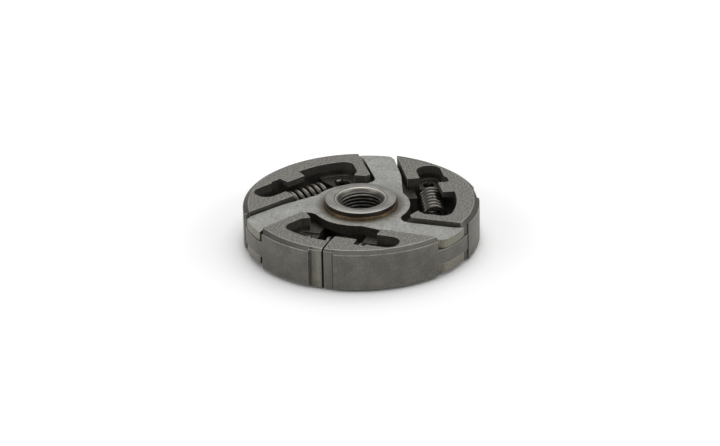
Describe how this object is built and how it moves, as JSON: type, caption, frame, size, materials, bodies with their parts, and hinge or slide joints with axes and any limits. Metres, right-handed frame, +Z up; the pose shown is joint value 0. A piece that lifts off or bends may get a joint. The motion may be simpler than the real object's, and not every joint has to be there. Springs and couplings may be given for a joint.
{
  "type": "centrifugal clutch",
  "caption": "Round centrifugal clutch: sliding friction shoes between two star-shaped drive plates, held in by coil springs, on a flanged threaded hub.",
  "frame": {"origin": "on the hub's axis, in the plane of the lower faces of the hub and the shoes", "axes": "+Z up the hub's axis, out of the flanged mouth; the picture looks along +Y, so +X is its right"},
  "size_m": [0.065, 0.0649, 0.0124],
  "materials": {
    "shoe": "sintered, fine-grained, dark grey",
    "plate": "stamped steel with a grainy surface",
    "hub": "turned steel, slightly tarnished",
    "spacer": "dull steel",
    "braze": "tarnished brazing metal",
    "spring": "oiled spring steel"
  },
  "bodies": {
    "hub_group": {"hub": "hub", "hub_spacer": "spacer", "drive_plate_lower": "plate", "drive_plate_upper": "plate", "braze_fillet_upper": "braze", "braze_fillet_lower": "braze", "spring_1": "spring", "spring_2": "spring", "spring_3": "spring"},
    "shoe_1_body": {"shoe_1": "shoe"},
    "shoe_2_body": {"shoe_2": "shoe"},
    "shoe_3_body": {"shoe_3": "shoe"}
  },
  "joints": [
    {"name": "shoe_1_slide", "type": "slide", "parent": "hub_group", "child": "shoe_1_body", "axis": [0.9478, -0.319, 0], "range_m": [0, 0.0015], "stiffness_N_per_m": 5000, "springref_m": -0.003, "deforming": ["spring_1", "spring_2"]},
    {"name": "shoe_2_slide", "type": "slide", "parent": "hub_group", "child": "shoe_2_body", "axis": [-0.1977, 0.9803, 0], "range_m": [0, 0.0015], "stiffness_N_per_m": 5000, "springref_m": -0.003, "deforming": ["spring_2", "spring_3"]},
    {"name": "shoe_3_slide", "type": "slide", "parent": "hub_group", "child": "shoe_3_body", "axis": [-0.7501, -0.6613, 0], "range_m": [0, 0.0015], "stiffness_N_per_m": 5000, "springref_m": -0.003, "deforming": ["spring_3", "spring_1"]}
  ]
}
